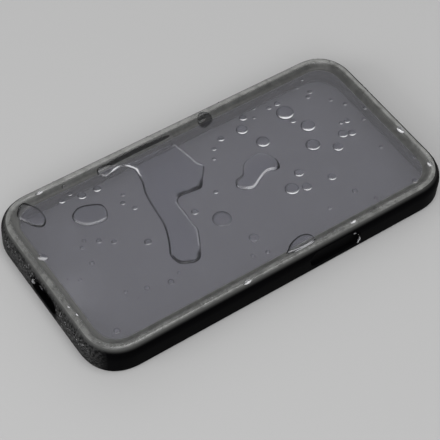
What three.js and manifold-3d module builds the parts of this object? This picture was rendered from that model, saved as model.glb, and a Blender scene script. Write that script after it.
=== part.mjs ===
// Slip-on weather cover, moulded in one piece from smoke-tinted thermoplastic polyurethane.
// Millimetres, +Z up. It lies on its open back with the clear window on top.
// X runs along the length, with the port slot at the -X end. The origin is under the middle, on the
// plane of the back.

import * as THREE from 'three';
import { mergeVertices } from 'three/addons/utils/BufferGeometryUtils.js';
import Module from 'manifold-3d';

// Overall size
const COVER_LENGTH = 154.4;
const COVER_WIDTH = 79;
const COVER_HEIGHT = 11.4;
const CORNER_RADIUS = 16.2;
const CORNER_FULLNESS = 2.38;

// Side wall and rounded shoulder
const WALL_THICKNESS = 1.8;
const FOOT_RADIUS = 0.4;
const SHOULDER_REACH = 3;
const SHOULDER_DROP = 5.2;
const RIM_THICKNESS = 1.1;

// Window, sunk inside the raised rim
const WINDOW_MARGIN = 6.4;
const WINDOW_RECESS = 1.7;
const WINDOW_THICKNESS = 0.5;

// Lip that turns inwards round the open back
const LIP_REACH = 4.2;
const LIP_THICKNESS = 0.9;
const LIP_EDGE_RADIUS = 0.3;
const INNER_FOOT_RADIUS = 1;

// Port slot through the end wall
const PORT_WIDTH = 16.4;
const PORT_HEIGHT = 6.4;
const PORT_CENTRE_Y = -0.6;
const PORT_CENTRE_Z = 5.8;

// Key recesses in the long walls: each leaves a thin pad that can be pressed through
const KEY_PAD_THICKNESS = 0.7;
const KEY_RECESS_HEIGHT = 7;
const KEY_CENTRE_Z = 5.8;
const SIDE_KEY_LENGTH = 22.4;
const SIDE_KEY_CENTRE_X = 21.3;
const PAIR_KEY_LENGTH = 34;
const PAIR_KEY_CENTRE_X = 20.5;

// How finely the curves are cut into flats
const CORNER_STEPS = 10;
const SHOULDER_STEPS = 8;
const SLOPE_STEPS = 6;
const FILLET_STEPS = 3;
const PILL_STEPS = 10;
const CUT_OVERRUN = 2;

const QUARTER_TURN = Math.PI / 2;
const windowTop = COVER_HEIGHT - WINDOW_RECESS;
const windowUnderside = windowTop - WINDOW_THICKNESS;

// Heights and insets of a quarter ellipse, from its upright end to its level end
function quarterEllipse(inset, height, reach, rise, steps) {
  const points = [];
  for (let step = 0; step <= steps; step += 1) {
    const turn = (QUARTER_TURN * step) / steps;
    points.push({ inset: inset + reach * (1 - Math.cos(turn)), z: height + rise * Math.sin(turn) });
  }
  return points;
}

// A level-to-level curve between two heights, as the rim runs down into the window
function easedSlope(fromInset, fromHeight, toInset, toHeight, steps) {
  const points = [];
  for (let step = 1; step <= steps; step += 1) {
    const part = step / steps;
    const fall = (1 - Math.cos(Math.PI * part)) / 2;
    points.push({
      inset: fromInset + (toInset - fromInset) * part,
      z: fromHeight + (toHeight - fromHeight) * fall,
    });
  }
  return points;
}

// The section of the moulding from the window's middle, out over the rim, down the wall, in along the
// lip and back up inside. An inset is a distance in from the outer face of the wall.
function coverSection() {
  const foot = quarterEllipse(0, FOOT_RADIUS, FOOT_RADIUS, -FOOT_RADIUS, FILLET_STEPS);
  const shoulder = quarterEllipse(
    0, COVER_HEIGHT - SHOULDER_DROP, SHOULDER_REACH, SHOULDER_DROP, SHOULDER_STEPS);
  const rimSlope = easedSlope(
    SHOULDER_REACH, COVER_HEIGHT, WINDOW_MARGIN, windowTop, SLOPE_STEPS);
  const innerShoulder = quarterEllipse(
    WALL_THICKNESS, COVER_HEIGHT - SHOULDER_DROP,
    SHOULDER_REACH - WALL_THICKNESS, SHOULDER_DROP - RIM_THICKNESS, SHOULDER_STEPS);
  const innerSlope = easedSlope(
    SHOULDER_REACH, COVER_HEIGHT - RIM_THICKNESS,
    WINDOW_MARGIN - WINDOW_THICKNESS, windowUnderside, SLOPE_STEPS);
  const innerFoot = quarterEllipse(
    WALL_THICKNESS, LIP_THICKNESS + INNER_FOOT_RADIUS,
    INNER_FOOT_RADIUS, -INNER_FOOT_RADIUS, FILLET_STEPS);
  const lipEdge = [
    { inset: LIP_REACH - LIP_EDGE_RADIUS, z: 0 },
    { inset: LIP_REACH, z: LIP_EDGE_RADIUS },
    { inset: LIP_REACH, z: LIP_THICKNESS - LIP_EDGE_RADIUS },
    { inset: LIP_REACH - LIP_EDGE_RADIUS, z: LIP_THICKNESS },
  ];
  return [
    ...rimSlope.reverse(),
    ...shoulder.reverse(),
    ...foot,
    ...lipEdge,
    ...innerFoot.reverse(),
    ...innerShoulder,
    ...innerSlope,
  ];
}

// One ring of the plan outline, a rectangle with full rounded corners, drawn in by the inset
function planRing(inset, z) {
  const radius = CORNER_RADIUS - inset;
  const points = [];
  for (let corner = 0; corner < 4; corner += 1) {
    const signX = corner === 0 || corner === 3 ? 1 : -1;
    const signY = corner < 2 ? 1 : -1;
    for (let step = 0; step <= CORNER_STEPS; step += 1) {
      const along = corner % 2 === 0 ? step : CORNER_STEPS - step;
      const turn = (QUARTER_TURN * along) / CORNER_STEPS;
      const across = radius * Math.cos(turn) ** (2 / CORNER_FULLNESS);
      const up = radius * Math.sin(turn) ** (2 / CORNER_FULLNESS);
      points.push(new THREE.Vector3(
        signX * (COVER_LENGTH / 2 - CORNER_RADIUS + across),
        signY * (COVER_WIDTH / 2 - CORNER_RADIUS + up),
        z));
    }
  }
  return points;
}

// Carries the section round the plan outline and closes both ends over the middle of the window
function coverShell() {
  const rings = coverSection().map(({ inset, z }) => planRing(inset, z));
  const ringSize = rings[0].length;
  const vertices = rings.flat();
  const topMiddle = vertices.push(new THREE.Vector3(0, 0, windowTop)) - 1;
  const undersideMiddle = vertices.push(new THREE.Vector3(0, 0, windowUnderside)) - 1;
  const lastRing = (rings.length - 1) * ringSize;
  const triangles = [];
  for (let point = 0; point < ringSize; point += 1) {
    const next = (point + 1) % ringSize;
    triangles.push(topMiddle, point, next);
    triangles.push(undersideMiddle, lastRing + next, lastRing + point);
    for (let ring = 0; ring < rings.length - 1; ring += 1) {
      const upper = ring * ringSize;
      const lower = upper + ringSize;
      triangles.push(upper + point, lower + point, lower + next);
      triangles.push(upper + point, lower + next, upper + next);
    }
  }
  const geometry = new THREE.BufferGeometry().setFromPoints(vertices);
  geometry.setIndex(triangles);
  return geometry;
}

// A bar of pill-shaped section along Y, with its middle on the origin
function pillBar(width, height, depth) {
  const end = height / 2;
  const straight = width / 2 - end;
  const outline = new THREE.Shape();
  outline.moveTo(-straight, -end);
  outline.lineTo(straight, -end);
  outline.absarc(straight, 0, end, -QUARTER_TURN, QUARTER_TURN, false);
  outline.lineTo(-straight, end);
  outline.absarc(-straight, 0, end, QUARTER_TURN, 3 * QUARTER_TURN, false);
  const bar = new THREE.ExtrudeGeometry(outline, { depth, bevelEnabled: false, curveSegments: PILL_STEPS });
  return bar.translate(0, 0, -depth / 2).rotateX(QUARTER_TURN);
}

// The slot passes through the whole thickness of the -X end wall
function portCutter() {
  const depth = WALL_THICKNESS + 2 * CUT_OVERRUN;
  return pillBar(PORT_WIDTH, PORT_HEIGHT, depth)
    .rotateZ(QUARTER_TURN)
    .translate(-COVER_LENGTH / 2 + WALL_THICKNESS / 2, PORT_CENTRE_Y, PORT_CENTRE_Z);
}

// A recess is cut from outside, down to the pad that stays at the inner face of the wall
function keyCutter(length, centreX, side) {
  const recessDepth = WALL_THICKNESS - KEY_PAD_THICKNESS;
  const depth = recessDepth + CUT_OVERRUN;
  const centreY = side * (COVER_WIDTH / 2 - recessDepth + depth / 2);
  return pillBar(length, KEY_RECESS_HEIGHT, depth).translate(centreX, centreY, KEY_CENTRE_Z);
}

const wasm = await Module();
wasm.setup();

function toSolid(geometry) {
  const bare = geometry.clone();
  bare.deleteAttribute('normal');
  bare.deleteAttribute('uv');
  const merged = mergeVertices(bare, 1e-4);
  return new wasm.Manifold(new wasm.Mesh({
    numProp: 3,
    vertProperties: new Float32Array(merged.attributes.position.array),
    triVerts: new Uint32Array(merged.index.array),
  }));
}

function toGeometry(solid) {
  const { vertProperties, triVerts } = solid.getMesh();
  const geometry = new THREE.BufferGeometry();
  geometry.setAttribute('position', new THREE.BufferAttribute(vertProperties, 3));
  geometry.setIndex(new THREE.BufferAttribute(triVerts, 1));
  geometry.computeVertexNormals();
  return geometry;
}

const smokeTpu = new THREE.MeshStandardMaterial({
  name: 'smoke_tpu',
  color: 0x3a3a3d,
  roughness: 0.22,
  metalness: 0,
  transparent: true,
  opacity: 0.72,
});

const coverSolid = toSolid(coverShell())
  .subtract(toSolid(portCutter()))
  .subtract(toSolid(keyCutter(SIDE_KEY_LENGTH, SIDE_KEY_CENTRE_X, -1)))
  .subtract(toSolid(keyCutter(PAIR_KEY_LENGTH, PAIR_KEY_CENTRE_X, 1)));

const weatherCover = new THREE.Mesh(toGeometry(coverSolid), smokeTpu);
weatherCover.name = 'weather_cover';

const part = new THREE.Group();
part.add(weatherCover);

export default part;
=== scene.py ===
import math

import bmesh
import bpy
import numpy as np
from mathutils import Matrix, Vector, geometry
from mathutils.bvhtree import BVHTree


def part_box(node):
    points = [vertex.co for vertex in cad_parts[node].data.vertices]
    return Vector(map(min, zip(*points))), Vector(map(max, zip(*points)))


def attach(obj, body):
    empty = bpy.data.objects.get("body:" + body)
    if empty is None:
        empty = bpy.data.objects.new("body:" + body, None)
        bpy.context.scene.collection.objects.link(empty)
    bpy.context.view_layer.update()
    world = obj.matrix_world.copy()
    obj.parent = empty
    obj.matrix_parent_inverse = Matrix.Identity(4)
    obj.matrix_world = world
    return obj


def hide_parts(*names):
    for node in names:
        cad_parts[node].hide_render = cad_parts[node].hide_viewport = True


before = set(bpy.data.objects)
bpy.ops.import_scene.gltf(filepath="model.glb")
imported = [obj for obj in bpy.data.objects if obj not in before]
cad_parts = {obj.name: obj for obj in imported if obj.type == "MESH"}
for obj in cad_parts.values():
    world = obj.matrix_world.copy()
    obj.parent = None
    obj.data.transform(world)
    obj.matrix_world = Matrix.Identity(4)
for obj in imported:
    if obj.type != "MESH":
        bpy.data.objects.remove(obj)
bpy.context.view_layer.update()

MM = 0.001
QUARTER_TURN = math.pi / 2

# Camera, matched to the picture's outline of the cover
PICTURE_SIDE = 440
CAMERA_PLACE = Vector((-207.7, -265.0, 428.3)) * MM
CAMERA_AIM = Vector((-6.57, -6.36, 6.0)) * MM
CAMERA_ROLL = math.radians(4.19)
SENSOR_WIDTH = 36.0
LENS = 120.24

# The moulding, in the sizes of the solid that it replaces
COVER_LOW, COVER_HIGH = (Vector(corner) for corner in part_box("weather_cover"))
LENGTH = COVER_HIGH.x - COVER_LOW.x
WIDTH = COVER_HIGH.y - COVER_LOW.y
HEIGHT = COVER_HIGH.z - COVER_LOW.z
CORNER_RADIUS = 16.2 * MM
CORNER_FULLNESS = 2.38
WALL = 1.8 * MM
FOOT_RADIUS = 0.4 * MM
SHOULDER_REACH = 3.0 * MM
SHOULDER_DROP = 5.2 * MM
RIM_THICKNESS = 1.1 * MM
WINDOW_MARGIN = 6.4 * MM
WINDOW_RECESS = 1.7 * MM
WINDOW_THICKNESS = 0.5 * MM
WINDOW_TOP = HEIGHT - WINDOW_RECESS
WINDOW_UNDERSIDE = WINDOW_TOP - WINDOW_THICKNESS
LIP_REACH = 4.2 * MM
LIP_THICKNESS = 0.9 * MM
LIP_EDGE_RADIUS = 0.3 * MM
INNER_FOOT_RADIUS = 1.0 * MM
PORT = {"width": 16.4 * MM, "height": 6.4 * MM, "middle": Vector((0, -0.6, 5.8)) * MM}
SIDE_KEY = {"width": 22.4 * MM, "height": 7.0 * MM, "middle": Vector((21.3, 0, 5.8)) * MM}
PAIR_KEY = {"width": 34.0 * MM, "height": 7.0 * MM, "middle": Vector((20.5, 0, 5.8)) * MM}
KEY_RECESS_DEPTH = 1.1 * MM
MOUTH_ROUND = 0.35 * MM
FLOOR_ROUND = 0.3 * MM
PORT_FLOOR_ROUND = 0.1 * MM
CUT_OVERRUN = 2.0 * MM
CUT_TOLERANCE = 0.02 * MM

# How finely the curves are cut
CORNER_STEPS = 24
STRAIGHT_STEP = 2.0 * MM
SHOULDER_STEPS = 26
SLOPE_STEPS = 22
INNER_STEPS = 16
FOOT_STEPS = 5
INNER_FOOT_STEPS = 7
LIP_STEPS = 4
PILL_STEPS = 18
MOUTH_STEPS = 6
FLOOR_STEPS = 4

# Faces that meet at more than this stay sharp, on the moulding and along the shore of a flat drop
MOULDING_CREASE = math.radians(40)
SHORE_CREASE = math.radians(55)

# How the smoke tint thins from wall to window: inset, how clear, how light, how rough, and how far
# into the dished slope between the crest and the window. How light is partly the tint's own milky
# grey and partly painted: lighter on the crest as a painted highlight, darker on the dished slope as
# painted shade
FINISHES = ("clear", "tone", "rough", "dished")
TINT_STATIONS = [
    (0.7, 0.0, 0.0, 0.4, 0.0), (1.85, 0.0, 0.14, 0.3, 0.0), (2.5, 0.6, 0.46, 0.06, 0.0),
    (3.1, 0.6, 0.46, 0.06, 0.0), (4.0, 0.55, 0.24, 0.22, 1.0), (5.2, 0.5, 0.14, 0.4, 1.0),
    (6.0, 0.5, 0.15, 0.4, 1.0), (6.9, 0.88, 0.2, 0.05, 0.0)]

# Two more rings on the flat of the window, so that the tint ends there
WINDOW_RINGS = (7.4 * MM, 6.9 * MM)

# How clear the tint may be where the dense wall ends. The dense wall's material reaches higher at the
# +X end, as a painted thin dark edge there
DENSE_EDGE = 0.35


def srgb(code):
    """A colour written as sRGB hex, as linear red, green, blue and alpha."""
    channels = [int(code[i:i + 2], 16) / 255 for i in (1, 3, 5)]
    linear = [c / 12.92 if c <= 0.04045 else ((c + 0.055) / 1.055) ** 2.4 for c in channels]
    return (*linear, 1.0)


def add(tree, kind, settings=None, links=None):
    """Adds a node, sets its properties and unlinked inputs, and links its other inputs."""
    node = tree.nodes.new(kind)
    for name, value in (settings or {}).items():
        if isinstance(name, int) or name in node.inputs:
            node.inputs[name].default_value = value
        else:
            setattr(node, name, value)
    for name, output in (links or {}).items():
        tree.links.new(output, node.inputs[name])
    return node


# Camera

def make_camera():
    data = bpy.data.cameras.new("camera")
    data.lens = LENS
    data.sensor_width = SENSOR_WIDTH
    data.clip_start = 0.01
    camera = bpy.data.objects.new("camera", data)
    bpy.context.scene.collection.objects.link(camera)
    facing = (CAMERA_AIM - CAMERA_PLACE).to_track_quat("-Z", "Y").to_matrix()
    turned = facing @ Matrix.Rotation(CAMERA_ROLL, 3, "Z")
    camera.matrix_world = Matrix.Translation(CAMERA_PLACE) @ turned.to_4x4()
    bpy.context.scene.camera = camera
    return turned


CAMERA_TURN = make_camera()


def sight_line(across, down):
    """The direction from the camera through a point of the picture."""
    focal = LENS / SENSOR_WIDTH * PICTURE_SIDE
    middle = PICTURE_SIDE / 2
    return (CAMERA_TURN @ Vector(((across - middle) / focal, (middle - down) / focal, -1))).normalized()


# The moulding

def quarter_ellipse(inset, height, reach, rise, steps):
    turns = [QUARTER_TURN * step / steps for step in range(steps + 1)]
    return [(inset + reach * (1 - math.cos(t)), height + rise * math.sin(t)) for t in turns]


def eased_slope(start, end, steps):
    points = []
    for step in range(1, steps + 1):
        part = step / steps
        fall = (1 - math.cos(math.pi * part)) / 2
        points.append((start[0] + (end[0] - start[0]) * part, start[1] + (end[1] - start[1]) * fall))
    return points


def tint(inset):
    """The moulding's finishes at an inset from its outer face, each from 0 to 1."""
    reach = inset / MM
    if reach <= TINT_STATIONS[0][0]:
        return TINT_STATIONS[0][1:]
    for (start, *first), (end, *second) in zip(TINT_STATIONS, TINT_STATIONS[1:]):
        if reach <= end:
            part = (reach - start) / (end - start)
            eased = part * part * (3 - 2 * part)
            return tuple(low + (high - low) * eased for low, high in zip(first, second))
    return TINT_STATIONS[-1][1:]


def cover_section():
    """The section from the window's edge out over the rim, down, in and back up inside."""
    shoulder = quarter_ellipse(0, HEIGHT - SHOULDER_DROP, SHOULDER_REACH, SHOULDER_DROP, SHOULDER_STEPS)
    rim_slope = eased_slope((SHOULDER_REACH, HEIGHT), (WINDOW_MARGIN, WINDOW_TOP), SLOPE_STEPS)
    inner_shoulder = quarter_ellipse(
        WALL, HEIGHT - SHOULDER_DROP, SHOULDER_REACH - WALL, SHOULDER_DROP - RIM_THICKNESS, INNER_STEPS)
    inner_slope = eased_slope(
        (SHOULDER_REACH, HEIGHT - RIM_THICKNESS),
        (WINDOW_MARGIN - WINDOW_THICKNESS, WINDOW_UNDERSIDE), INNER_STEPS)
    foot = quarter_ellipse(0, FOOT_RADIUS, FOOT_RADIUS, -FOOT_RADIUS, FOOT_STEPS)
    inner_foot = quarter_ellipse(
        WALL, LIP_THICKNESS + INNER_FOOT_RADIUS, INNER_FOOT_RADIUS, -INNER_FOOT_RADIUS, INNER_FOOT_STEPS)
    lip_edge = quarter_ellipse(0, 0, LIP_EDGE_RADIUS, LIP_EDGE_RADIUS, LIP_STEPS)
    lip_under = [(LIP_REACH - reach, LIP_EDGE_RADIUS - rise) for reach, rise in lip_edge][::-1]
    lip_over = [(LIP_REACH - reach, LIP_THICKNESS - LIP_EDGE_RADIUS + rise) for reach, rise in lip_edge]
    window_over = [(inset, WINDOW_TOP) for inset in WINDOW_RINGS]
    window_under = [(inset, WINDOW_UNDERSIDE) for inset in WINDOW_RINGS[::-1]]
    outer = [(u, z, *tint(u)) for u, z in window_over + rim_slope[::-1] + shoulder[::-1]]
    under = [(u, z, *tint(0)) for u, z in foot + lip_under + lip_over + inner_foot[::-1]]
    inner = [(u, z, *tint(u)) for u, z in inner_shoulder + inner_slope + window_under]
    return outer + under + inner


def plan_ring(inset, height):
    """The cover's outline, a rectangle with full rounded corners, drawn in by the inset."""
    radius = CORNER_RADIUS - inset
    corners = []
    for corner in range(4):
        side_x = 1 if corner in (0, 3) else -1
        side_y = 1 if corner < 2 else -1
        arc = []
        for step in range(CORNER_STEPS + 1):
            along = step if corner % 2 == 0 else CORNER_STEPS - step
            turn = QUARTER_TURN * along / CORNER_STEPS
            across = radius * max(math.cos(turn), 0) ** (2 / CORNER_FULLNESS)
            up = radius * math.sin(turn) ** (2 / CORNER_FULLNESS)
            arc.append(Vector((side_x * (LENGTH / 2 - CORNER_RADIUS + across),
                               side_y * (WIDTH / 2 - CORNER_RADIUS + up), height)))
        corners.append(arc)
    points = []
    for corner, arc in enumerate(corners):
        points += arc
        start, end = arc[-1], corners[(corner + 1) % 4][0]
        count = round((end - start).length / STRAIGHT_STEP)
        points += [start.lerp(end, step / count) for step in range(1, count)]
    return [tuple(point) for point in points]


def new_object(name, points, faces):
    mesh = bpy.data.meshes.new(name)
    mesh.from_pydata(points, [], faces)
    mesh.validate()
    mesh.update()
    made = bpy.data.objects.new(name, mesh)
    bpy.context.scene.collection.objects.link(made)
    return made


def lofted(name, rings, first_middle, last_middle):
    """Joins rings of equal count into one closed skin, with a fan over each end."""
    size = len(rings[0])
    points = [point for ring in rings for point in ring] + [first_middle, last_middle]
    first, last = len(points) - 2, len(points) - 1
    faces = []
    for here in range(size):
        after = (here + 1) % size
        faces.append((first, here, after))
        end = (len(rings) - 1) * size
        faces.append((last, end + after, end + here))
        for ring in range(len(rings) - 1):
            above, below = ring * size, (ring + 1) * size
            faces.append((above + here, below + here, below + after, above + after))
    return new_object(name, points, faces)


def pill_cutter(pill, facing, depth, floor_round):
    """A pill-shaped tool that cuts in from an outer face, with a rounded mouth and floor."""
    stations = []
    for reach, rise in quarter_ellipse(0, 0, floor_round, floor_round, FLOOR_STEPS):
        stations.append((floor_round - rise - depth, -reach))
    stations = stations[::-1]
    for reach, rise in quarter_ellipse(0, 0, MOUTH_ROUND, MOUTH_ROUND, MOUTH_STEPS):
        stations.append((-MOUTH_ROUND + rise, reach))
    stations.append((CUT_OVERRUN, MOUTH_ROUND))
    end = pill["height"] / 2
    straight = pill["width"] / 2 - end
    along_y = Matrix(((0, 0, 1), (1, 0, 0), (0, 1, 0)))
    along_x = Matrix(((1, 0, 0), (0, 0, 1), (0, 1, 0)))
    turn = along_y if facing.x else along_x
    rings = []
    for out, grow in stations:
        ring = []
        for side in (1, -1):
            for step in range(PILL_STEPS + 1):
                angle = math.pi * step / PILL_STEPS - side * QUARTER_TURN
                across = side * straight + (end + grow) * math.cos(angle)
                up = (end + grow) * math.sin(angle)
                ring.append(turn @ Vector((across, up, 0)))
        place = pill["middle"] + facing * out
        rings.append([tuple(point + place) for point in ring])
    middles = [tuple(pill["middle"] + facing * out) for out in (stations[0][0], stations[-1][0])]
    cutter = lofted("cutter", rings, *middles)
    mesh = cutter.data
    volume = sum(f.center.dot(f.normal) * f.area for f in mesh.polygons)
    if volume < 0:
        mesh.flip_normals()
    return cutter


def plain_mesh(source, name):
    """The object's mesh with its modifiers applied, on a new object at the origin."""
    depsgraph = bpy.context.evaluated_depsgraph_get()
    mesh = bpy.data.meshes.new_from_object(source.evaluated_get(depsgraph))
    mesh.name = name
    made = bpy.data.objects.new(name, mesh)
    bpy.context.scene.collection.objects.link(made)
    return made


def make_cover():
    section = cover_section()
    rings = [plan_ring(inset, height) for inset, height, *_ in section]
    raw = lofted("raw_cover", rings, (0, 0, WINDOW_TOP), (0, 0, WINDOW_UNDERSIDE))
    for index, name in enumerate(FINISHES):
        shares = [station[index + 2] for station in section for _ in rings[0]] + [section[0][index + 2]] * 2
        raw.data.attributes.new(name, "FLOAT", "POINT").data.foreach_set("value", shares)
    cutters = []
    for pill, facing, depth, floor_round in (
            (PORT, Vector((-1, 0, 0)), WALL + CUT_OVERRUN, PORT_FLOOR_ROUND),
            (SIDE_KEY, Vector((0, -1, 0)), KEY_RECESS_DEPTH, FLOOR_ROUND),
            (PAIR_KEY, Vector((0, 1, 0)), KEY_RECESS_DEPTH, FLOOR_ROUND)):
        face = Vector((LENGTH / 2 * facing.x, WIDTH / 2 * facing.y, 0))
        cutters.append(pill_cutter({**pill, "middle": pill["middle"] + face}, facing, depth, floor_round))
    for cutter in cutters:
        cut = raw.modifiers.new("cut", "BOOLEAN")
        cut.operation = "DIFFERENCE"
        cut.solver = "EXACT"
        cut.object = cutter
    cover = plain_mesh(raw, "cover_moulding")
    for spent in [raw, *cutters]:
        bpy.data.objects.remove(spent)
    darken_cuts(cover.data)
    cover.data.materials.clear()
    for material in (smoke_film(), smoke_wall()):
        cover.data.materials.append(material)
    clear = cover.data.attributes["clear"].data
    for polygon in cover.data.polygons:
        # Painted shade: towards the +X end the dark wall's material reaches further up the rim, as a thin
        # dark edge
        right_end_dark_edge = min(max((polygon.center.x - LENGTH / 2 + CORNER_RADIUS) / CORNER_RADIUS, 0), 1)
        clearest = max(clear[v].value for v in polygon.vertices)
        polygon.use_smooth = True
        polygon.material_index = 0 if clearest > DENSE_EDGE * right_end_dark_edge else 1
    cover.data.set_sharp_from_angle(angle=MOULDING_CREASE)
    return cover


def on_cut(place):
    """Whether a point near a wall lies on a cut face or its rounded mouth. Both key outlines count on
    both long walls: where one is not cut, the wall inside it is dark and dry anyway."""
    for pill, across in ((PORT, place.y), (SIDE_KEY, place.x), (PAIR_KEY, place.x)):
        middle, end = pill["middle"], pill["height"] / 2
        beyond = max(abs(across - (middle.y if pill is PORT else middle.x)) - pill["width"] / 2 + end, 0)
        on_wall = place.x < -LENGTH / 2 + 2 * WALL if pill is PORT else abs(place.y) > WIDTH / 2 - 2 * WALL
        if on_wall and math.hypot(beyond, place.z - middle.z) < end + MOUTH_ROUND + CUT_TOLERANCE:
            return True
    return False


def darken_cuts(mesh):
    """The cut faces have no station of the section: they take the wall's tint, and no spray."""
    sprayed = mesh.attributes.new("sprayed", "FLOAT", "POINT").data
    for vertex in mesh.vertices:
        cut = on_cut(vertex.co)
        sprayed[vertex.index].value = 0.0 if cut else 1.0
        if cut:
            for name, value in zip(FINISHES, tint(0)):
                mesh.attributes[name].data[vertex.index].value = value


# Materials

def smoke_film():
    """Smoke-tinted thermoplastic polyurethane, injection moulded thin: a glossy film that is clear
    over the window and milky grey at the rim, and runs into the dense walls. The rim's grey is painted
    lighter on the crest towards the far side, as a painted highlight, and on the dished slope lighter
    towards the near side and darker towards the far side, as painted light and shade, with random
    streaks. The spray that settles in the -X end's slope greys it."""
    material = bpy.data.materials.new("smoke_tpu_film")
    material.use_nodes = True
    tree = material.node_tree
    shader = tree.nodes["Principled BSDF"]
    place = add(tree, "ShaderNodeTexCoord").outputs["Object"]
    clear = add(tree, "ShaderNodeAttribute", {"attribute_name": "clear"}).outputs["Fac"]
    tone = add(tree, "ShaderNodeAttribute", {"attribute_name": "tone"}).outputs["Fac"]
    finish = add(tree, "ShaderNodeAttribute", {"attribute_name": "rough"}).outputs["Fac"]
    window = add(tree, "ShaderNodeMapRange", {"From Min": 0.6, "From Max": 0.88},
                 {"Value": clear}).outputs[0]
    far = add(tree, "ShaderNodeVectorMath", {"operation": "DOT_PRODUCT", 1: (1 / LENGTH, 1 / WIDTH, 0)},
              {0: place}).outputs["Value"]
    # Painted highlight and shade: the crest's grey grows lighter towards the far side, and the dished
    # slope's grey is lighter towards the near and -X side and darker towards the far side
    crest_far_highlight = add(tree, "ShaderNodeMapRange", {
        "From Min": -0.3, "From Max": 0.35, "To Min": 1.0, "To Max": 2.2}, {"Value": far}).outputs[0]
    beyond = add(tree, "ShaderNodeVectorMath", {"operation": "DOT_PRODUCT", 1: (0.6 / LENGTH, 1 / WIDTH, 0)},
                 {0: place}).outputs["Value"]
    slope_side_light = add(tree, "ShaderNodeMapRange", {
        "From Min": -0.3, "From Max": 0.5, "To Min": 1.5, "To Max": 0.95}, {"Value": beyond}).outputs[0]
    dished = add(tree, "ShaderNodeAttribute", {"attribute_name": "dished"}).outputs["Fac"]
    painted_side_light = add(tree, "ShaderNodeMix", links={0: dished, 2: crest_far_highlight, 3: slope_side_light}).outputs[0]
    streaks = add(tree, "ShaderNodeTexNoise", {
        "Scale": 1 / (3.5 * MM), "Detail": 5.0, "Roughness": 0.6, "Distortion": 0.8},
        {"Vector": place}).outputs["Fac"]
    uneven = add(tree, "ShaderNodeMapRange", {
        "From Min": 0.33, "From Max": 0.67, "To Min": 0.65, "To Max": 1.3}, {"Value": streaks}).outputs[0]
    side_light_and_streaks = add(tree, "ShaderNodeMath", {"operation": "MULTIPLY"}, {0: painted_side_light, 1: uneven}).outputs[0]
    tone_and_side_light = add(tree, "ShaderNodeMath", {"operation": "MULTIPLY"}, {0: tone, 1: side_light_and_streaks}).outputs[0]
    spot = add(tree, "ShaderNodeSeparateXYZ", links={0: place})
    spray = add(tree, "ShaderNodeMapRange", {
        "From Min": -LENGTH / 2 + 14 * MM, "From Max": -LENGTH / 2 + 7 * MM, "To Max": 0.34},
        {"Value": spot.outputs["X"]}).outputs[0]
    settled = add(tree, "ShaderNodeMath", {"operation": "MULTIPLY"}, {0: spray, 1: dished}).outputs[0]
    grey_with_painted_light = add(tree, "ShaderNodeMath", {"operation": "MAXIMUM"}, {0: tone_and_side_light, 1: settled}).outputs[0]
    rim = add(tree, "ShaderNodeMix", {"data_type": "RGBA", 6: srgb("#070708"), 7: srgb("#D2D3D0")},
              {0: grey_with_painted_light}).outputs[2]
    colour = add(tree, "ShaderNodeMix", {"data_type": "RGBA", 7: srgb("#C1C1C8")},
                 {0: window, 6: rim}).outputs[2]
    tree.links.new(colour, shader.inputs["Base Color"])
    tree.links.new(clear, shader.inputs["Transmission Weight"])
    smear = add(tree, "ShaderNodeTexNoise", {"Scale": 1 / (14 * MM), "Detail": 4.0, "Distortion": 1.2},
                {"Vector": place}).outputs["Fac"]
    rough = add(tree, "ShaderNodeMath", {"operation": "MULTIPLY_ADD", 1: 0.1}, {0: smear, 2: finish})
    tree.links.new(rough.outputs[0], shader.inputs["Roughness"])
    shader.inputs["IOR"].default_value = 1.48
    grain = add(tree, "ShaderNodeTexNoise", {"Scale": 1 / (2.4 * MM), "Detail": 3.0}, {"Vector": place})
    ripple = add(tree, "ShaderNodeMapRange", {"To Min": 0.6, "To Max": 0.015}, {"Value": window}).outputs[0]
    bump = add(tree, "ShaderNodeBump", {"Distance": 0.05 * MM},
               {"Height": grain.outputs["Fac"], "Strength": ripple})
    tree.links.new(bump.outputs["Normal"], shader.inputs["Normal"])
    return material


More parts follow.
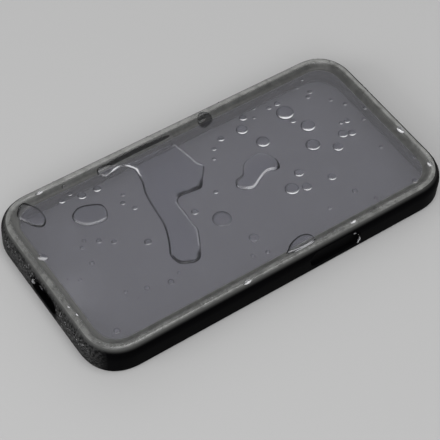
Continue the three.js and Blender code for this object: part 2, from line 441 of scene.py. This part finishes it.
def smoke_wall():
    """The same polyurethane where it's thick: nearly black, satin from the tool, with a fine grain. Up by
    the crest its grey is painted lighter towards the near side, as painted sheen, and kept black towards
    the far side, as a painted dark edge.
    The -X end carries a spray too fine to model, which scatters the light and stipples it grey; the
    stipple stands partly for that spray and partly for painted sheen of the light from the -X side. Its
    speckle is drawn at 0.8 mm, as coarse as it needs to be to show."""
    material = bpy.data.materials.new("smoke_tpu_wall")
    material.use_nodes = True
    tree = material.node_tree
    shader = tree.nodes["Principled BSDF"]
    place = add(tree, "ShaderNodeTexCoord").outputs["Object"]
    spot = add(tree, "ShaderNodeSeparateXYZ", links={0: place})
    spray = add(tree, "ShaderNodeMapRange", {"From Min": -LENGTH / 2 + 4.5 * MM, "From Max": -LENGTH / 2},
                {"Value": spot.outputs["X"]}).outputs[0]
    speckle = add(tree, "ShaderNodeTexNoise", {"Scale": 1 / (0.8 * MM), "Detail": 4.0, "Roughness": 0.7},
                  {"Vector": place}).outputs["Fac"]
    reached = add(tree, "ShaderNodeAttribute", {"attribute_name": "sprayed"}).outputs["Fac"]
    wet = add(tree, "ShaderNodeMath", {"operation": "MULTIPLY"}, {0: spray, 1: reached}).outputs[0]
    stipple = add(tree, "ShaderNodeMapRange", {"From Min": 0.42, "From Max": 0.62, "To Min": 0.05},
                  {"Value": speckle}).outputs[0]
    spray_and_sheen = add(tree, "ShaderNodeMath", {"operation": "MULTIPLY"}, {0: wet, 1: stipple}).outputs[0]
    tone = add(tree, "ShaderNodeAttribute", {"attribute_name": "tone"}).outputs["Fac"]
    far = add(tree, "ShaderNodeVectorMath", {"operation": "DOT_PRODUCT", 1: (1 / LENGTH, 1 / WIDTH, 0)},
              {0: place}).outputs["Value"]
    # Painted sheen and shade: the section's grey shows towards the near side and fades out towards the far
    # side
    near_side_sheen = add(tree, "ShaderNodeMapRange", {
        "From Min": -0.2, "From Max": 0.1, "To Min": 1.0, "To Max": 0.0}, {"Value": far}).outputs[0]
    grey_with_painted_light = add(tree, "ShaderNodeMath", {"operation": "MULTIPLY"}, {0: tone, 1: near_side_sheen}).outputs[0]
    dense = add(tree, "ShaderNodeMix", {"data_type": "RGBA", 6: srgb("#040405"), 7: srgb("#D2D3D0")},
                {0: grey_with_painted_light}).outputs[2]
    # The grey stipple at the -X end: the spray, and painted sheen of the light from that side
    colour = add(tree, "ShaderNodeMix", {"data_type": "RGBA", 7: srgb("#4E4E4E")},
                 {0: spray_and_sheen, 6: dense}).outputs[2]
    tree.links.new(colour, shader.inputs["Base Color"])
    shader.inputs["Roughness"].default_value = 0.5
    shader.inputs["Specular IOR Level"].default_value = 0.015
    shader.inputs["IOR"].default_value = 1.48
    bump = add(tree, "ShaderNodeBump", {"Strength": 0.15, "Distance": 0.05 * MM}, {"Height": speckle})
    tree.links.new(bump.outputs["Normal"], shader.inputs["Normal"])
    return material


def clear_water():
    """Standing rain water: colourless, perfectly smooth, bends and mirrors the light. Its steep foot
    bends the sight line into the smoke tint, so the contact line looks dark. The light that falls
    through a drop gathers inside its near edge, which looks white. The render doesn't gather light, so
    both are painted, from each point's values foot and gathered. They stay put in every view."""
    material = bpy.data.materials.new("clear_water")
    material.use_nodes = True
    tree = material.node_tree
    shader = tree.nodes["Principled BSDF"]
    foot = add(tree, "ShaderNodeAttribute", {"attribute_name": "foot"}).outputs["Fac"]
    crescent = add(tree, "ShaderNodeAttribute", {"attribute_name": "gathered"}).outputs["Fac"]
    dim = add(tree, "ShaderNodeAttribute", {"attribute_name": "dim"}).outputs["Fac"]
    kept = add(tree, "ShaderNodeMath", {"operation": "SUBTRACT", 0: 1.0}, {1: dim}).outputs[0]
    gathered = add(tree, "ShaderNodeMath", {"operation": "MULTIPLY"}, {0: crescent, 1: kept}).outputs[0]
    # Painted shade: the dark contact line along each drop's foot
    depth = add(tree, "ShaderNodeMix", {"data_type": "RGBA", 6: srgb("#E3E3E6"), 7: srgb("#202024")},
                {0: foot}).outputs[2]
    # Painted highlight: the white crescent where the light gathers, which also lets less light through
    colour = add(tree, "ShaderNodeMix", {"data_type": "RGBA", 7: srgb("#F2F2F4")},
                 {0: gathered, 6: depth}).outputs[2]
    tree.links.new(colour, shader.inputs["Base Color"])
    through = add(tree, "ShaderNodeMapRange", {"To Min": 1.0, "To Max": 0.12},
                  {"Value": gathered}).outputs[0]
    tree.links.new(through, shader.inputs["Transmission Weight"])
    shader.inputs["Roughness"].default_value = 0.0
    shader.inputs["IOR"].default_value = 1.333
    return material


def pale_floor():
    """Matt pale grey studio board."""
    material = bpy.data.materials.new("pale_board")
    material.use_nodes = True
    shader = material.node_tree.nodes["Principled BSDF"]
    shader.inputs["Base Color"].default_value = srgb("#BCBCBC")
    shader.inputs["Roughness"].default_value = 0.9
    shader.inputs["Specular IOR Level"].default_value = 0.0
    return material


# Stage

FLOOR_REACH = 1.5
FLOOR_GAP = 0.05 * MM
WORLD_LIGHT = 0.34
FLAG_RADIUS = 0.45
FLAG_HEIGHT = 0.12


def make_stage():
    reach = FLOOR_REACH
    floor = new_object("floor", [(-reach, -reach, 0), (reach, -reach, 0), (reach, reach, 0),
                                 (-reach, reach, 0)], [(0, 1, 2, 3)])
    floor.location.z = -FLOOR_GAP
    floor.data.materials.append(pale_floor())
    world = bpy.data.worlds.new("studio")
    world.use_nodes = True
    world.node_tree.nodes["Background"].inputs["Color"].default_value = (1, 1, 1, 1)
    world.node_tree.nodes["Background"].inputs["Strength"].default_value = WORLD_LIGHT
    bpy.context.scene.world = world
    soft_lamp("top_softbox", azimuth=-60, elevation=80, distance=1.3, width=0.8, height=0.8, strength=7)
    soft_lamp("front_fill", azimuth=-128, elevation=35, distance=1.2, width=0.9, height=0.6, strength=4)
    soft_lamp("left_fill", azimuth=175, elevation=25, distance=1.2, width=0.7, height=0.4, strength=4.5)
    back = soft_lamp(
        "back_softbox", azimuth=52, elevation=24, distance=1.3, width=2.2, height=0.5, strength=2.8)
    back.visible_glossy = False
    black_flag()


def black_flag():
    """A dark felt board behind the cover that only mirror images show, so water gets dark outlines."""
    turns = [math.radians(turn) for turn in range(-20, 125, 12)]
    foot = [(FLAG_RADIUS * math.cos(turn), FLAG_RADIUS * math.sin(turn), 0) for turn in turns]
    top = [(x, y, FLAG_HEIGHT) for x, y, _ in foot]
    count = len(turns)
    strips = [(i, i + 1, count + i + 1, count + i) for i in range(count - 1)]
    flag = new_object("black_flag", foot + top, strips)
    felt = bpy.data.materials.new("black_felt")
    felt.use_nodes = True
    felt.node_tree.nodes["Principled BSDF"].inputs["Base Color"].default_value = srgb("#050505")
    felt.node_tree.nodes["Principled BSDF"].inputs["Specular IOR Level"].default_value = 0.0
    flag.data.materials.append(felt)
    flag.visible_camera = False
    flag.visible_diffuse = False
    flag.visible_transmission = False
    flag.visible_shadow = False


def soft_lamp(name, azimuth, elevation, distance, width, height, strength):
    data = bpy.data.lights.new(name, "AREA")
    data.shape = "RECTANGLE"
    data.size = width
    data.size_y = height
    data.energy = strength
    lamp = bpy.data.objects.new(name, data)
    bpy.context.scene.collection.objects.link(lamp)
    turn, rise = math.radians(azimuth), math.radians(elevation)
    lamp.location = distance * Vector((math.cos(turn) * math.cos(rise), math.sin(turn) * math.cos(rise),
                                       math.sin(rise)))
    lamp.rotation_euler = (-lamp.location).to_track_quat("-Z", "Y").to_euler()
    return lamp


# Water

WATER_LIFT = 0.02 * MM
MERGE_DISTANCE = 1e-7

# How the cover's long side turns in the picture, in degrees
ALONG_SIDE = -28.0

# A drop's dark foot, a painted shade: its shade on average, how much that swings round the drop,
# and the least there is
SHADE = 0.5
SHADE_SWING = 0.9
LEAST_BEAD_SHADE = 0.45
LEAST_POOL_SHADE = 0.4

# Round beads: the profile, and the shaded and lit side in the bead's own axes. Its x axis runs to the
# right of the picture, or along the bead where that is drawn out
BEAD_FULLNESS = 3.0
BEAD_RINGS = 9
BEAD_SIDES = 28
BASE_REACH = 0.94
BEAD_SHADED_SIDE = (-0.5, 0.87)
BEAD_LIT_SIDE = (0.26, -0.97)
CRESCENT_FADE = 0.08
CRESCENT_END = 0.96

# The widest bead that counts as small, in pixels of the picture. Between the two heights, as shares
# of its width, a round bead gathers ever more light, and it never gathers less than the least
SMALL_BEAD = 8
FLAT_SHARE = 0.09
FULL_SHARE = 0.14
LEAST_LIGHT = 0.15

# Flat drops: their bands inside the shore, and the sides of the part that are shaded and lit
SHORE_STEPS = 8
FOOT_BAND = 0.75 * MM
FOOT_FADE = 0.3 * MM
GATHER_BAND = (0.45 * MM, 0.85 * MM)
SHADED_SIDE = np.array((math.cos(math.radians(82)), math.sin(math.radians(82))))
LIT_SIDE = np.array((math.cos(math.radians(-110)), math.sin(math.radians(-110))))
LIT_SWING = 1.6
LIT_DROP = 0.5
SHORE_LIGHT = 0.4
STRETCH_FADE = 0.5
EDGE_MARGIN = 1.2
INSIDE_ONLY = 1
SAME_PLACE = 1e-9

# Fine spray: bands of the rim and the end wall that it lies on, and how thickly it lies there
SPRAYED_WALL = (1.0 * MM, 9.0 * MM)
WALL_FACE = 0.6 * MM
WINDOW_SLACK = 0.1 * MM
LEFT_RIM = 5.5 * MM
OTHER_RIM = 5.0 * MM
WALL_SPRAY = 1.0
LEFT_RIM_SPRAY = 0.12
RIGHT_RIM_SPRAY = 0.25
FAR_RIM_SPRAY = 0.08
OPEN_SPRAY = 0.006

# Round beads read from the picture: place across and down, width, height as a share of the width
BEADS = [
    (285, 113, 18, 0.145), (308, 126, 15, 0.17), (243, 118, 8, 0.17), (242, 130, 12, 0.17),
    (263, 142, 14, 0.145), (221, 139, 7, 0.17), (214, 149, 5, 0.17), (214, 159, 4, 0.17),
    (216, 192, 5, 0.136), (269, 108, 5, 0.153), (277, 104, 6, 0.17), (293, 121, 6, 0.17),
    (254, 118, 3, 0.17), (254, 109, 3, 0.17), (310, 92, 5, 0.128), (308, 97, 5, 0.128),
    (297, 88, 4, 0.128), (302, 80, 3, 0.128), (331, 100, 4, 0.128), (345, 104, 4, 0.128),
    (347, 121, 6, 0.17), (341, 123, 4, 0.17), (343, 134, 10, 0.153), (352, 133, 8, 0.153),
    (313, 145, 15, 0.128), (338, 147, 11, 0.162), (299, 173, 10, 0.153), (292, 189, 15, 0.136),
    (307, 187, 10, 0.145), (332, 177, 9, 0.17), (365, 108, 4, 0.128), (364, 119, 4, 0.128),
    (381, 147, 4, 0.128), (355, 191, 6, 0.102), (376, 198, 4, 0.102), (330, 208, 4, 0.128),
    (82, 196, 9, 0.17), (97, 189, 8, 0.162), (62, 201, 7, 0.17), (70, 194, 5, 0.128),
    (64, 187, 5, 0.085), (123, 203, 5, 0.128), (123, 195, 4, 0.128), (135, 208, 5, 0.145),
    (222, 219, 20, 0.038), (254, 238, 11, 0.102), (253, 256, 5, 0.102), (268, 252, 5, 0.102),
    (99, 241, 6, 0.111), (114, 242, 6, 0.111), (148, 242, 8, 0.111), (84, 241, 5, 0.102),
    (82, 248, 4, 0.102), (92, 263, 5, 0.102), (80, 280, 4, 0.102), (117, 331, 7, 0.102),
    (171, 282, 7, 0.102), (147, 288, 6, 0.102), (179, 273, 4, 0.102), (126, 292, 4, 0.102),
    (195, 212, 8, 0.119), (414, 157, 4, 0.102), (415, 181, 6, 0.119),
]

# Beads drawn out along the rim: place across and down, length, width, turn in the picture, height
# share, and how much light gathers in them
LONG_BEADS = [
    (401, 130, 10, 6, 40, 0.6, 1.0), (430, 164, 6, 5, 50, 0.6, 0.8), (39, 193, 8, 4, ALONG_SIDE, 0.45, 0.8),
    (247, 282, 10, 5, ALONG_SIDE, 0.45, 0.9), (353, 222, 7, 4, ALONG_SIDE, 0.45, 0.8),
    (304, 247, 28, 5, ALONG_SIDE, 0.25, 0.4), (42, 257.5, 13, 9, 8, 0.26, 0.45),
    (69, 307, 4, 3, 50, 0.45, 0.4), (77, 315, 4, 3, 50, 0.45, 0.4), (34, 280, 9, 6, 75, 0.5, 0.3),
    # The last three sit along the +X end of the near key recess, where their painted light also stands for
    # the highlight on the recess's rounded mouth
    (41, 287.5, 6, 5, 60, 0.6, 0.6), (354.5, 233.3, 5, 2, 0, 0.5, 0.25),
    (358.6, 234.4, 5, 2.2, 45, 0.5, 0.3), (358.6, 239.8, 9, 2.6, -64, 0.5, 0.35),
]

# Flat drops and the wet trail, as outlines read from the picture
LEFT_POOL = [(72, 216), (78, 208), (89, 205), (102, 205), (108, 213), (105, 221), (89, 226), (76, 223)]
CORNER_POOL = [(17, 217), (19, 207), (24, 203), (33, 206), (41, 211), (46, 219), (44, 226), (36, 227),
               (24, 222)]
MIDDLE_POOL = [(236, 186), (236, 180), (242, 175), (243, 167), (246, 161), (257, 154), (269, 155),
               (277, 160), (280, 167), (276, 170), (268, 172), (262, 178), (255, 188), (246, 190),
               (238, 188)]
NEAR_POOL = [(287, 254), (288, 249), (291, 243), (296, 238), (301, 235), (308, 234), (314, 237),
             (315, 241), (308, 246), (299, 250)]
SLOPE_SMEAR = [(106, 164.5), (116, 158), (134, 149), (152, 141), (167, 135.5), (169, 137), (160, 142),
               (142, 150.5), (126, 158.5), (113, 165)]
FAR_BLOB = [(199, 113), (206, 112), (212, 117), (211, 123), (204, 128), (198, 123)]
TRAIL = [(97, 170), (98, 175), (102, 177), (108, 177), (113, 173), (122, 167), (132, 169), (136, 172),
         (142, 183), (145, 194), (153, 208), (163, 224), (167, 236), (169, 247), (170, 255), (175, 261),
         (181, 264), (189, 263.5), (196, 262), (200.5, 258), (201, 250), (200, 240), (198, 229), (192, 222),
         (186, 213), (180, 206), (178, 201), (180, 197), (186, 194), (197, 190), (202, 187), (203, 179),
         (204, 166), (197, 162), (188, 154), (179, 147), (173, 144), (166, 147), (150, 154.5),
         (134, 162), (122, 165), (110, 164), (101, 166)]


def hit(across, down):
    """Where the sight line through a point of the picture meets the cover, and which way it faces."""
    place, normal, _, _ = SKIN.ray_cast(CAMERA_PLACE, sight_line(across, down))
    if place is None:
        raise ValueError(f"nothing of the cover shows at {across}, {down}")
    return place, normal


def unit_bead(name, rings, sides, light, breadth, dark_from):
    """A drop of unit radius and height: flat on top, rounding ever more steeply down to its foot.
    The light that gathers inside its near edge is painted as a white crescent, as white as light says,
    and as broad as breadth. Its foot is painted dark, as shade, from a share of its radius outwards,
    darkest on its shaded side."""
    points, foot, gathered = [(0, 0, 1)], [0.0], [0.0]
    for ring in range(1, rings + 1):
        reach = math.sin(QUARTER_TURN * ring / rings)
        rise = math.sqrt(max(1 - reach ** BEAD_FULLNESS, 0))
        for side in range(sides):
            turn = 4 * QUARTER_TURN * side / sides
            points.append((reach * math.cos(turn), reach * math.sin(turn), rise))
            facing = Vector((math.cos(turn), math.sin(turn)))
            shaded = SHADE + SHADE_SWING * facing.dot(BEAD_SHADED_SIDE)
            edge = max(reach - dark_from, 0) / (1 - dark_from)
            foot.append(min(max(shaded, LEAST_BEAD_SHADE), 1) * edge)
            near = max(facing.dot(BEAD_LIT_SIDE), 0)
            crescent = (reach - 1 + breadth * near) / CRESCENT_FADE
            gathered.append(light * min(max(crescent, 0), 1) if reach < CRESCENT_END else 0.0)
    points += [(BASE_REACH * x, BASE_REACH * y, 0) for x, y, _ in points[-sides:]]
    foot += [0.0] * sides
    gathered += [0.0] * sides
    faces = [(0, 1 + side, 1 + (side + 1) % sides) for side in range(sides)]
    for ring in range(rings):
        inner, outer = 1 + ring * sides, 1 + (ring + 1) * sides
        for side in range(sides):
            after = (side + 1) % sides
            faces.append((inner + side, outer + side, outer + after, inner + after))
    last = 1 + rings * sides
    faces.append(tuple(last + side for side in reversed(range(sides))))
    bead = new_object(name, points, faces)
    for edge in bead.data.edges:
        edge.use_edge_sharp = last - sides <= min(edge.vertices) and max(edge.vertices) < last
    bead.data.attributes.new("foot", "FLOAT", "POINT").data.foreach_set("value", foot)
    bead.data.attributes.new("gathered", "FLOAT", "POINT").data.foreach_set("value", gathered)
    return bead


def group_tree(name, inputs):
    """An empty geometry tree with its inputs and one geometry output, and the inputs' identifiers."""
    tree = bpy.data.node_groups.new(name, "GeometryNodeTree")
    tree.interface.new_socket("Geometry", in_out="INPUT", socket_type="NodeSocketGeometry")
    sockets = {label: tree.interface.new_socket(label, in_out="INPUT", socket_type="NodeSocket" + kind)
               for label, kind in inputs.items()}
    tree.interface.new_socket("Geometry", in_out="OUTPUT", socket_type="NodeSocketGeometry")
    return tree, {label: socket.identifier for label, socket in sockets.items()}


def finish_beads(tree, given, points, bead, turn, size):
    """Stands a bead on each point and makes the whole one smooth, wet mesh."""
    standing = add(tree, "GeometryNodeInstanceOnPoints", links={
        "Points": points, "Instance": bead, "Rotation": turn, "Scale": size}).outputs[0]
    real = add(tree, "GeometryNodeRealizeInstances", links={0: standing}).outputs[0]
    smooth = add(tree, "GeometryNodeSetShadeSmooth", links={0: real}).outputs[0]
    wet = add(tree, "GeometryNodeSetMaterial", links={0: smooth, "Material": given["Water"]}).outputs[0]
    add(tree, "NodeGroupOutput", links={0: wet})


def placed_bead_tree():
    """A bead on each point, sized and turned by the point's own attributes."""
    tree, ids = group_tree("placed_beads", {"Bead": "Object", "Water": "Material"})
    given = add(tree, "NodeGroupInput").outputs
    bead = add(tree, "GeometryNodeObjectInfo", links={0: given["Bead"]}).outputs["Geometry"]
    size = add(tree, "GeometryNodeInputNamedAttribute", {"data_type": "FLOAT_VECTOR", "Name": "size"})
    turn = add(tree, "GeometryNodeInputNamedAttribute", {"data_type": "QUATERNION", "Name": "turn"})
    finish_beads(tree, given, given["Geometry"], bead, turn.outputs[0], size.outputs[0])
    return tree, ids


def spray_tree():
    """Fine droplets strewn over a surface, as thickly as its "wet" attribute says."""
    tree, ids = group_tree("spray", {"Bead": "Object", "Water": "Material", "Density": "Float",
                                     "Smallest": "Float", "Largest": "Float", "Seed": "Int"})
    given = add(tree, "NodeGroupInput").outputs
    bead = add(tree, "GeometryNodeObjectInfo", links={0: given["Bead"]}).outputs["Geometry"]
    wet = add(tree, "GeometryNodeInputNamedAttribute", {"data_type": "FLOAT", "Name": "wet"}).outputs[0]
    density = add(tree, "ShaderNodeMath", {"operation": "MULTIPLY"}, {0: wet, 1: given["Density"]})
    strewn = add(tree, "GeometryNodeDistributePointsOnFaces", links={
        "Mesh": given["Geometry"], "Density": density.outputs[0], "Seed": given["Seed"]}).outputs
    size = add(tree, "FunctionNodeRandomValue", {"data_type": "FLOAT"}, {
        2: given["Smallest"], 3: given["Largest"], "Seed": given["Seed"]}).outputs[1]
    finish_beads(tree, given, strewn["Points"], bead, strewn["Rotation"], size)
    return tree, ids


def run_tree(source, name, tree, ids, values):
    """Runs a geometry tree on an object and keeps only the plain mesh that it makes."""
    nodes = source.modifiers.new(name, "NODES")
    nodes.node_group = tree
    for label, value in values.items():
        nodes[ids[label]] = value
    made = plain_mesh(source, name)
    bpy.data.objects.remove(source)
    finish_water(made)


def finish_water(made):
    """Clear water lets the light through, so it throws no shadow on the film under it."""
    made.visible_shadow = False
    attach(made, "root")


def pixel_width(place):
    """What one pixel of the picture spans, square to the sight line, at a place."""
    return (place - CAMERA_PLACE).length * SENSOR_WIDTH / LENS / PICTURE_SIDE


def placed_bead(across, down, length, width, turn, share, light):
    """A bead's place, size and turn in space, from how it looks in the picture."""
    place, normal = hit(across, down)
    far_end = sight_line(across + math.cos(math.radians(turn)), down + math.sin(math.radians(turn)))
    reach = (place - CAMERA_PLACE).dot(normal) / far_end.dot(normal)
    along = (CAMERA_PLACE + far_end * reach - place).normalized()
    across_it = normal.cross(along)
    pixel = pixel_width(place)
    size = Vector((length * pixel / 2, width * pixel / 2, min(length, width) * pixel * share))
    frame_turn = Matrix((along, across_it, normal)).transposed().to_quaternion()
    return place + normal * WATER_LIFT, size, frame_turn, 1 - light


def gathered_light(share):
    """How much light gathers in a round bead whose height is this share of its width."""
    return min(max((share - FLAT_SHARE) / (FULL_SHARE - FLAT_SHARE), LEAST_LIGHT), 1)


def make_beads(name, readings, breadth, dark_from):
    """Beads at the places, sizes and turns read from the picture."""
    beads = [placed_bead(*reading) for reading in readings]
    points = new_object("bead_points", [tuple(bead[0]) for bead in beads], [])
    sizes = [part for bead in beads for part in bead[1]]
    turns = [part for bead in beads for part in bead[2]]
    dim = [bead[3] for bead in beads]
    points.data.attributes.new("size", "FLOAT_VECTOR", "POINT").data.foreach_set("vector", sizes)
    points.data.attributes.new("turn", "QUATERNION", "POINT").data.foreach_set("value", turns)
    points.data.attributes.new("dim", "FLOAT", "POINT").data.foreach_set("value", dim)
    bead = unit_bead("unit_bead", BEAD_RINGS, BEAD_SIDES, light=1.0, breadth=breadth, dark_from=dark_from)
    run_tree(points, name, *placed_bead_tree(), {"Bead": bead, "Water": WATER})
    bpy.data.objects.remove(bead)


def wetness(place):
    """How thickly the fine spray lies at a point of the cover."""
    from_left, from_right = place.x + LENGTH / 2, LENGTH / 2 - place.x
    from_far = WIDTH / 2 - place.y
    if on_cut(place):
        return 0.0
    if from_left < WALL_FACE and SPRAYED_WALL[0] < place.z < SPRAYED_WALL[1]:
        return WALL_SPRAY
    if place.z < WINDOW_TOP - WINDOW_SLACK:
        return 0.0
    if from_left < LEFT_RIM:
        return LEFT_RIM_SPRAY
    if from_right < OTHER_RIM:
        return RIGHT_RIM_SPRAY
    if from_far < OTHER_RIM:
        return FAR_RIM_SPRAY
    return OPEN_SPRAY


def make_spray(cover):
    source = bpy.data.objects.new("spray_source", cover.data.copy())
    bpy.context.scene.collection.objects.link(source)
    wet = [wetness(vertex.co) for vertex in source.data.vertices]
    source.data.attributes.new("wet", "FLOAT", "POINT").data.foreach_set("value", wet)
    droplet = unit_bead("unit_droplet", rings=3, sides=8, light=0.25, breadth=0.3, dark_from=0.6)
    run_tree(source, "fine_spray", *spray_tree(), {
        "Bead": droplet, "Water": WATER, "Density": 0.9 / MM ** 2,
        "Smallest": 0.07 * MM, "Largest": 0.22 * MM, "Seed": 7})
    bpy.data.objects.remove(droplet)


def smooth_loop(points, steps):
    """A closed curve through the points, with the given steps between each two."""
    curve = []
    count = len(points)
    for here in range(count):
        a, b, c, d = (points[(here + offset) % count] for offset in (-1, 0, 1, 2))
        for step in range(steps):
            t = step / steps
            curve.append(0.5 * (2 * b + (c - a) * t + (2 * a - 5 * b + 4 * c - d) * t * t
                                + (3 * b - a - 3 * c + d) * t ** 3))
    return curve


def make_pool(name, outline, height, edge, stretches):
    """A flat drop on the cover: it rises from its shore over the width of its edge and then runs
    level. Along its shore it carries painted shade, a dark band darkest on the shaded side, and painted
    light gathered towards the lit side. Each stretch is the outline point it starts at, the one it ends
    at, the painted light gathered there, the darkness of the painted shade at the foot there and how
    wide its dark band is."""
    corners = [Vector(hit(*point)[0].xy) for point in outline]
    loop = np.array(smooth_loop(corners, SHORE_STEPS))
    start, along = loop, np.roll(loop, -1, axis=0) - loop
    leftwards = (start[:, 0] * along[:, 1] - start[:, 1] * along[:, 0]).sum() > 0
    outward = np.stack([along[:, 1], -along[:, 0]], axis=-1) * (1 if leftwards else -1)
    outward /= np.linalg.norm(outward, axis=-1, keepdims=True)

    def gaps(points):
        reach = points[:, None, :] - start[None]
        share = np.clip((reach * along).sum(-1) / (along ** 2).sum(-1), 0, 1)
        return np.linalg.norm(reach - share[..., None] * along, axis=-1)

    def from_shore(points):
        return gaps(points).min(1)

    def grid(pitch):
        low, high = loop.min(0), loop.max(0)
        return np.stack(np.meshgrid(np.arange(low[0], high[0], pitch), np.arange(low[1], high[1], pitch)),
                        axis=-1).reshape(-1, 2)

    fine, coarse = grid(edge / 4), grid(edge)
    reach = from_shore(fine)
    near_shore = fine[(reach > edge / 8) & (reach < edge * EDGE_MARGIN)]
    spots = np.vstack([near_shore, coarse[from_shore(coarse) > edge * EDGE_MARGIN]])
    joined = [Vector(p) for p in np.vstack([loop, spots])]
    shore_face = list(range(len(loop)))
    flat, _, faces, _, _, _ = geometry.delaunay_2d_cdt(joined, [], [shore_face], INSIDE_ONLY, SAME_PLACE)
    flat_gaps = gaps(np.array(flat))
    part = np.clip(flat_gaps.min(1) / edge, 0, 1)
    shore, facing = flat_gaps.min(1), outward[flat_gaps.argmin(1)]
    lit = SHORE_LIGHT * np.clip(LIT_SWING * facing @ LIT_SIDE - LIT_DROP, 0, 1)
    shaded = np.clip(SHADE + SHADE_SWING * facing @ SHADED_SIDE, LEAST_POOL_SHADE, 1)
    looks = np.stack([lit, shaded, np.ones(len(lit))])
    for first, last, *look in stretches:
        along_shore = flat_gaps.argmin(1) / SHORE_STEPS
        weight = np.clip(np.minimum(along_shore - first, last - along_shore) / STRETCH_FADE, 0, 1)
        looks += (np.array(look)[:, None] - looks) * weight
    # Painted shade along the shore, and painted light gathered inside it
    foot = looks[1] * np.clip((FOOT_BAND * looks[2] - shore) / FOOT_FADE, 0, 1)
    low_side, high_side = GATHER_BAND
    band = np.clip(1 - np.abs(2 * shore - low_side - high_side) / (high_side - low_side), 0, 1)
    gathered = looks[0] * np.sqrt(band)
    rise = height * np.sqrt(1 - (1 - part) ** 2)
    ground = [SKIN.ray_cast(Vector((*spot, 1)), Vector((0, 0, -1)))[0].z + WATER_LIFT for spot in flat]
    count = len(flat)
    points = [(*spot, low + up) for spot, low, up in zip(flat, ground, rise)]
    points += [(*spot, low) for spot, low in zip(flat, ground)]
    skin = [tuple(face) for face in faces] + [tuple(v + count for v in reversed(face)) for face in faces]
    pool = new_object(name, points, skin)
    for label, shares in (("foot", foot), ("gathered", gathered)):
        pool.data.attributes.new(label, "FLOAT", "POINT").data.foreach_set("value", np.tile(shares, 2))
    merge_close(pool)
    for polygon in pool.data.polygons:
        polygon.use_smooth = True
    pool.data.set_sharp_from_angle(angle=SHORE_CREASE)
    pool.data.materials.append(WATER)
    finish_water(pool)


def merge_close(made):
    mesh = bmesh.new()
    mesh.from_mesh(made.data)
    bmesh.ops.remove_doubles(mesh, verts=mesh.verts, dist=MERGE_DISTANCE)
    bmesh.ops.recalc_face_normals(mesh, faces=mesh.faces)
    mesh.to_mesh(made.data)
    mesh.free()


cover = make_cover()
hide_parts("weather_cover")
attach(cover, "root")

WATER = clear_water()
SKIN = BVHTree.FromPolygons([v.co for v in cover.data.vertices], [p.vertices for p in cover.data.polygons])
ROUND_BEADS = [(across, down, width, width, 0, share, gathered_light(share))
               for across, down, width, share in BEADS]
LARGE_BEADS = [bead for bead in ROUND_BEADS if bead[2] > SMALL_BEAD]
SMALL_BEADS = [bead for bead in ROUND_BEADS if bead[2] <= SMALL_BEAD]
make_beads("rain_beads", LARGE_BEADS, breadth=0.25, dark_from=0.66)
make_beads("small_beads", SMALL_BEADS, breadth=0.3, dark_from=0.5)
make_beads("rim_beads", LONG_BEADS, breadth=0.75, dark_from=0.8)
make_spray(cover)
make_pool("left_pool", LEFT_POOL, height=0.8 * MM, edge=1.0 * MM, stretches=[])
make_pool("corner_pool", CORNER_POOL, height=0.6 * MM, edge=1.0 * MM, stretches=[
    (5, 8, 0.12, 0.9, 1.0)])
make_pool("middle_pool", MIDDLE_POOL, height=0.9 * MM, edge=1.1 * MM, stretches=[
    (9, 13, 0.75, 0.2, 0.8), (0, 2, 0.2, 0.6, 1.6), (2, 7, 0.1, 0.45, 0.8), (7, 9, 0.1, 0.9, 1.4)])
make_pool("near_pool", NEAR_POOL, height=0.6 * MM, edge=0.9 * MM, stretches=[(7, 10, 0.7, 0.3, 1.0)])
# The far blob and the slope smear are painted dark all over, with the foot's painted shade spread across
# them
make_pool("far_blob", FAR_BLOB, height=0.4 * MM, edge=1.2 * MM, stretches=[(-1, 7, 0.0, 0.62, 8.0)])
make_pool("slope_smear", SLOPE_SMEAR, height=0.1 * MM, edge=0.5 * MM, stretches=[
    (-1, 11, 0.0, 0.7, 8.0)])
make_pool("wet_trail", TRAIL, height=0.4 * MM, edge=0.7 * MM, stretches=[
    (3.6, 7.6, 0.85, 0.2, 0.8), (14, 20, 0.0, 0.72, 1.7), (20, 26, 0.14, 0.45, 0.8),
    (26.5, 31, 0.0, 0.7, 1.9), (31.8, 36.2, 0.2, 0.0, 1.0), (36, 41, 0.0, 0.0, 1.0)])
make_stage()

bpy.context.scene.view_settings.view_transform = "Standard"
